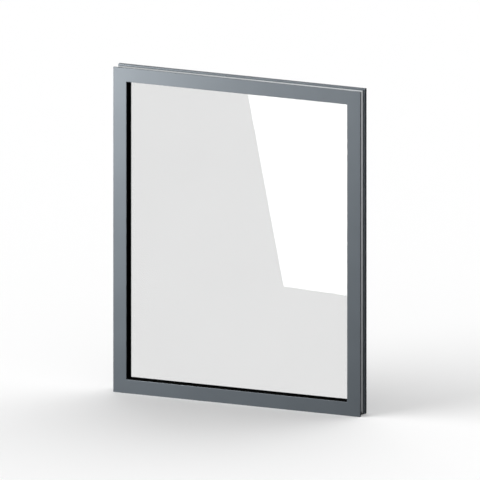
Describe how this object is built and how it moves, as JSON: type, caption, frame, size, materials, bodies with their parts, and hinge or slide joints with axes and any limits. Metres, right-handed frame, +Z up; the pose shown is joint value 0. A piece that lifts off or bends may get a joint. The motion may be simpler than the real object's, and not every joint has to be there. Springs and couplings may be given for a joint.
{
  "type": "fixed picture window",
  "caption": "Tall fixed picture window: grey thermally broken aluminium frame round a clear double-glazed unit.",
  "frame": {"origin": "on the floor under the middle of the window, half way through its depth", "axes": "+X to the right seen from outside, +Y from the outside face to the room side, +Z up"},
  "size_m": [1, 0.065, 1.263],
  "materials": {
    "painted_aluminium": "satin",
    "grey_isolator": "matte",
    "black_isolator": "matte",
    "black_rubber": "matte",
    "black_spacer": "matte",
    "black_sealant": "matte",
    "clear_glass": "polished",
    "block_plastic": "matte"
  },
  "bodies": {
    "root": {"outer_frame_head": "painted_aluminium", "outer_frame_sill": "painted_aluminium", "outer_frame_left": "painted_aluminium", "outer_frame_right": "painted_aluminium", "inner_frame_head": "painted_aluminium", "inner_frame_sill": "painted_aluminium", "inner_frame_left": "painted_aluminium", "inner_frame_right": "painted_aluminium", "glazing_bead_head": "painted_aluminium", "glazing_bead_sill": "painted_aluminium", "glazing_bead_left": "painted_aluminium", "glazing_bead_right": "painted_aluminium", "outer_isolator_head": "grey_isolator", "outer_isolator_sill": "grey_isolator", "outer_isolator_left": "grey_isolator", "outer_isolator_right": "grey_isolator", "inner_isolator_head": "black_isolator", "inner_isolator_sill": "black_isolator", "inner_isolator_left": "black_isolator", "inner_isolator_right": "black_isolator", "outer_gasket_head": "black_rubber", "outer_gasket_sill": "black_rubber", "outer_gasket_left": "black_rubber", "outer_gasket_right": "black_rubber", "inner_gasket_head": "black_rubber", "inner_gasket_sill": "black_rubber", "inner_gasket_left": "black_rubber", "inner_gasket_right": "black_rubber", "spacer_bar_head": "black_spacer", "spacer_bar_sill": "black_spacer", "spacer_bar_left": "black_spacer", "spacer_bar_right": "black_spacer", "edge_seal_head": "black_sealant", "edge_seal_sill": "black_sealant", "edge_seal_left": "black_sealant", "edge_seal_right": "black_sealant", "outer_pane": "clear_glass", "inner_pane": "clear_glass", "setting_block_left": "block_plastic", "setting_block_right": "block_plastic"}
  },
  "joints": []
}
